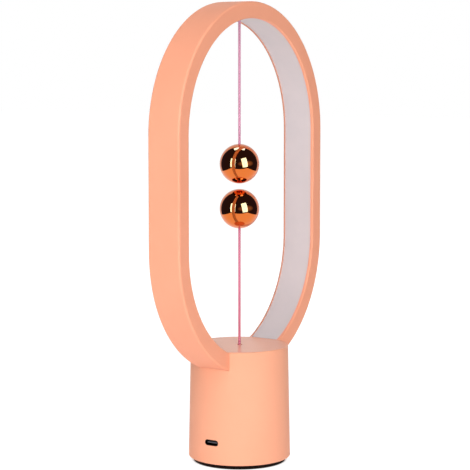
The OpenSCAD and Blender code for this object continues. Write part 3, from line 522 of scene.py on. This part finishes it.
# CAD nodes keep their shape and get the materials made above
finish = {
    "peachPlastic": ["ring_shell"],
    "peachCoverEdgeShaded": ["ring_back_cover"],
    "peachBase": ["base_shell"],
    "milkyPlastic": ["diffuser"],
    "blackRubber": ["foot_pad"],
    "tonguePlastic": ["usb_tongue"],
    "darkSteel": ["usb_socket"],
    "darkPlastic": ["bottom_cover", "driver_chip", "inductor", "ring_clamps", "pull_slider", "micro_switch"],
    "whitePlastic": ["cord_anchor", "wire_sockets", "switch_guide", "switch_plunger", "upper_magnet_cup",
                     "lower_magnet_cup", "led_strip"],
    "brightSteel": ["ballast_weight", "cover_screws", "board_screws", "clamp_screws", "guide_screws",
                    "switch_screws", "return_spring", "lever_pin", "switch_lever", "switch_terminals",
                    "upper_magnet", "lower_magnet"],
    "canAluminium": ["capacitors"],
    "greenBoard": ["main_board"],
    "redWire": ["led_wires", "switch_wires"],
    "lightChip": ["led_chips"],
    "pinkCord": ["anchor_knot", "upper_ball_knot", "lower_ball_knot", "slider_knot"],
}
for materialName, nodeNames in finish.items():
    for nodeName in nodeNames:
        for slot in nodes[nodeName].material_slots:
            slot.material = bpy.data.materials[materialName]
dressed = {n for names in finish.values() for n in names}
print("nodes without a finish:", sorted(n for n in nodes if n not in dressed and not nodes[n].hide_render))

# studio: a white table, a round backdrop behind it, a soft glow on the wall at the right, three softboxes
# in front and above, and three fills that no surface mirrors. Each softbox has a bright card before it,
# which shows in the mirror balls alone. Angles are in degrees round the lamp, azimuth from the camera's
# side and positive to its right
studio = {
    "heart": 0.16,  # the height that all the lights are turned to
    "tableFront": 0.33, "tableHalf": 0.36, "tableBack": 0.75, "floorSize": 12.0,
    "contact": 0.0015, "contactSamples": 8,  # how far out from the foot the table is darkened
    "paint": 0.80, "paintSeen": 0.2,  # the table's grey for the light that it throws back, and as it is seen
    "floorGlow": 0.33, "farGlow": 0.0,  # the glow that the table throws, on it and past its edges
    "floorSeen": 0.64, "floorShine": 1.0,  # what is added where it is seen, and its glow in metal
    "ambient": 0.19, "dark": (0.022, 0.022, 0.055),  # the room's light, and its colour in metal
    "cardColour": (0.12, 0.38, 1.0),  # cool, because copper warms what it mirrors
    "cardGap": 0.02, "rim": 96,  # how far a light is behind its card, and the corners of a round panel
    "softboxes": [
        {"name": "rightBox", "azimuth": 30.9, "elevation": 9.8, "distance": 1.1, "width": 0.62,
         "height": 1.04, "roll": -9, "level": 1.12, "shine": 17.0},
        {"name": "leftBox", "azimuth": -39.3, "elevation": 8.4, "distance": 1.1, "width": 0.57,
         "height": 0.94, "roll": 0, "level": 0.79, "shine": 17.0},
        {"name": "topBox", "azimuth": 0, "elevation": 103, "distance": 1.2, "width": 0.86, "height": 0.40,
         "roll": 0, "level": 0.2, "shine": 14.0},
        {"name": "frontFill", "azimuth": -5, "elevation": 12, "distance": 1.1, "width": 0.7, "height": 0.7,
         "roll": 0, "level": 3.74, "shine": 0.0},
        {"name": "highFill", "azimuth": 0, "elevation": 50, "distance": 1.1, "width": 0.7, "height": 0.7,
         "roll": 0, "level": 3.22, "shine": 0.0},
        {"name": "backFill", "azimuth": 180, "elevation": 20, "distance": 1.1, "width": 0.7, "height": 0.7,
         "roll": 0, "level": 1.7, "shine": 0.0},
    ],
    "backdrop": {"azimuth": 177, "elevation": 0, "distance": 1.6, "width": 3.8, "height": 7.2,
                 "strength": 0.75},
    "wallGlow": {"azimuth": 38, "elevation": 4, "distance": 1.3, "width": 3.1, "height": 0.84,
                 "strength": 0.42},
}
heart = Vector((0, 0, studio["heart"]))
yaw = math.radians(camera["yaw"])
toFront = Vector((-math.sin(yaw), -math.cos(yaw), 0))
toRight = Vector((math.cos(yaw), -math.sin(yaw), 0))


def studioPoint(azimuth, elevation, distance):
    a, e = math.radians(azimuth), math.radians(elevation)
    level = toFront * math.cos(a) + toRight * math.sin(a)
    return heart + (level * math.cos(e) + Vector((0, 0, math.sin(e)))) * distance


def glowMaterial(name, colour, strength, fading):
    material = bpy.data.materials.new(name)
    material.use_nodes = True
    tree = material.node_tree
    tree.nodes.clear()
    glow = addNode(tree, "Emission", Color=(*colour, 1), Strength=strength)
    surface = glow.outputs[0]
    if fading:
        place = addNode(tree, "TexCoord")
        fade = addNode(tree, "TexGradient", gradient_type="SPHERICAL")
        tree.links.new(place.outputs["Object"], fade.inputs["Vector"])
        clear = addNode(tree, "BsdfTransparent")
        pick = addNode(tree, "MixShader")
        tree.links.new(fade.outputs["Fac"], pick.inputs["Fac"])
        tree.links.new(clear.outputs[0], pick.inputs[1])
        tree.links.new(glow.outputs[0], pick.inputs[2])
        surface = pick.outputs[0]
    tree.links.new(surface, addNode(tree, "OutputMaterial").inputs["Surface"])
    return material


def facing(place, axis, roll):
    return ((heart - place).to_track_quat(axis, "Y") @ Quaternion((0, 0, 1), math.radians(roll))).to_euler()


def makePanel(name, place, width, height, strength, colour=(1, 1, 1), roll=0, roundEdge=False, fading=False,
              lights=False):
    selectNothing()
    if roundEdge:
        bpy.ops.mesh.primitive_circle_add(vertices=studio["rim"], radius=1, fill_type="NGON", location=place)
        size = (width / 2, height / 2, 1)
    else:
        bpy.ops.mesh.primitive_plane_add(size=1, location=place)
        size = (width, height, 1)
    panel = bpy.context.object
    panel.name = name
    panel.scale = size
    panel.rotation_euler = facing(place, "Z", roll)
    panel.data.materials.append(glowMaterial(name + "Glow", colour, strength, fading))
    panel.visible_camera = panel.visible_transmission = False
    panel.visible_diffuse = lights
    panel.visible_shadow = panel.visible_volume_scatter = False
    return panel


def makeSoftbox(box):
    place = studioPoint(box["azimuth"], box["elevation"], box["distance"])
    behind = place + (place - heart).normalized() * studio["cardGap"]
    bpy.ops.object.light_add(type="AREA", location=behind)
    light = bpy.context.object
    light.name = box["name"]
    light.rotation_euler = facing(place, "-Z", -box["roll"])
    light.data.shape = "RECTANGLE"
    light.data.size, light.data.size_y = box["width"], box["height"]
    light.data.energy = math.pi * box["width"] * box["height"] * box["level"]
    light.visible_camera, light.visible_glossy = False, box["shine"] > 0
    if box["shine"] > 0:
        card = makePanel(box["name"] + "Card", place, box["width"], box["height"], box["shine"],
                         colour=studio["cardColour"], roll=box["roll"])
        card.light_linking.receiver_collection = mirrorBalls


def makeFloor():
    selectNothing()
    bpy.ops.mesh.primitive_plane_add(size=studio["floorSize"], location=(0, 0, 0))
    floor = bpy.context.object
    floor.name = "table"
    material = bpy.data.materials.new("paleTable")
    material.use_nodes = True
    tree = material.node_tree
    tree.nodes.clear()
    out = addNode(tree, "OutputMaterial")
    light = addNode(tree, "LightPath")
    place = addNode(tree, "TexCoord")
    paint = addNode(tree, "BsdfDiffuse")
    greys = [(studio[name], studio[name], studio[name], 1) for name in ("paint", "paintSeen")]
    tree.links.new(mixColours(tree, light.outputs["Is Camera Ray"], *greys), paint.inputs["Color"])
    glow = addNode(tree, "MapRange", To_Max=studio["floorSeen"] + studio["floorGlow"])
    tree.links.new(light.outputs["Is Camera Ray"], glow.inputs["Value"])
    near = addNode(tree, "AmbientOcclusion", samples=studio["contactSamples"], Distance=studio["contact"])
    unshaded = addNode(tree, "Math", operation="MULTIPLY")
    tree.links.new(glow.outputs["Result"], unshaded.inputs[0])
    tree.links.new(near.outputs["AO"], unshaded.inputs[1])
    white = addNode(tree, "Emission", Color=(1, 1, 1, 1))
    tree.links.new(unshaded.outputs[0], white.inputs["Strength"])
    lit = addNode(tree, "AddShader")
    tree.links.new(paint.outputs[0], lit.inputs[0])
    tree.links.new(white.outputs[0], lit.inputs[1])
    # past its edges the table throws no glow, and in metal the dark room shows there
    turned = addNode(tree, "Mapping", vector_type="TEXTURE")
    turned.inputs["Rotation"].default_value[2] = math.atan2(toFront.y, toFront.x)
    tree.links.new(place.outputs["Object"], turned.inputs["Vector"])
    parts = addNode(tree, "SeparateXYZ")
    tree.links.new(turned.outputs["Vector"], parts.inputs[0])
    tests = []
    for axis, sign, limit in (("X", 1, studio["tableFront"]), ("X", -1, studio["tableBack"]),
                              ("Y", 1, studio["tableHalf"]), ("Y", -1, studio["tableHalf"])):
        signed = addNode(tree, "Math", operation="MULTIPLY")
        signed.inputs[1].default_value = sign
        tree.links.new(parts.outputs[axis], signed.inputs[0])
        past = addNode(tree, "Math", operation="GREATER_THAN")
        past.inputs[1].default_value = limit
        tree.links.new(signed.outputs[0], past.inputs[0])
        tests.append(past.outputs[0])
    outside = tests[0]
    for test in tests[1:]:
        both = addNode(tree, "Math", operation="MAXIMUM")
        tree.links.new(outside, both.inputs[0])
        tree.links.new(test, both.inputs[1])
        outside = both.outputs[0]
    thrown = addNode(tree, "MapRange", To_Min=studio["floorGlow"], To_Max=studio["farGlow"])
    tree.links.new(outside, thrown.inputs["Value"])
    tree.links.new(thrown.outputs["Result"], glow.inputs["To Min"])
    gone = addNode(tree, "Math", operation="MULTIPLY")
    tree.links.new(outside, gone.inputs[0])
    tree.links.new(light.outputs["Is Glossy Ray"], gone.inputs[1])
    shine = addNode(tree, "Emission", Color=(1, 1, 1, 1), Strength=studio["floorShine"])
    mirrored = addNode(tree, "MixShader")
    tree.links.new(light.outputs["Is Glossy Ray"], mirrored.inputs["Fac"])
    tree.links.new(lit.outputs[0], mirrored.inputs[1])
    tree.links.new(shine.outputs[0], mirrored.inputs[2])
    clear = addNode(tree, "BsdfTransparent")
    pick = addNode(tree, "MixShader")
    tree.links.new(gone.outputs[0], pick.inputs["Fac"])
    tree.links.new(mirrored.outputs[0], pick.inputs[1])
    tree.links.new(clear.outputs[0], pick.inputs[2])
    tree.links.new(pick.outputs[0], out.inputs["Surface"])
    floor.data.materials.append(material)


def makeWorld():
    world = bpy.data.worlds.new("studioRoom")
    bpy.context.scene.world = world
    world.use_nodes = True
    tree = world.node_tree
    tree.nodes.clear()
    out = addNode(tree, "OutputWorld")
    light = addNode(tree, "LightPath")
    soft = addNode(tree, "Background", Color=(1, 1, 1, 1), Strength=studio["ambient"])
    dark = addNode(tree, "Background", Color=(*studio["dark"], 1), Strength=1.0)
    white = addNode(tree, "Background", Color=(1, 1, 1, 1), Strength=1.0)
    shine = addNode(tree, "MixShader")
    tree.links.new(light.outputs["Is Glossy Ray"], shine.inputs["Fac"])
    tree.links.new(soft.outputs[0], shine.inputs[1])
    tree.links.new(dark.outputs[0], shine.inputs[2])
    seen = addNode(tree, "Math", operation="MAXIMUM")
    tree.links.new(light.outputs["Is Camera Ray"], seen.inputs[0])
    tree.links.new(light.outputs["Is Transmission Ray"], seen.inputs[1])
    last = addNode(tree, "MixShader")
    tree.links.new(seen.outputs[0], last.inputs["Fac"])
    tree.links.new(shine.outputs[0], last.inputs[1])
    tree.links.new(white.outputs[0], last.inputs[2])
    tree.links.new(last.outputs[0], out.inputs["Surface"])


makeFloor()
for box in studio["softboxes"]:
    makeSoftbox(box)
for name in ("backdrop", "wallGlow"):
    panel = studio[name]
    place = studioPoint(panel["azimuth"], panel["elevation"], panel["distance"])
    makePanel(name, place, panel["width"], panel["height"], panel["strength"], roundEdge=True,
              fading=name == "wallGlow", lights=name == "backdrop")
makeWorld()
print("studio made")

bpy.context.scene.view_settings.view_transform = "Standard"
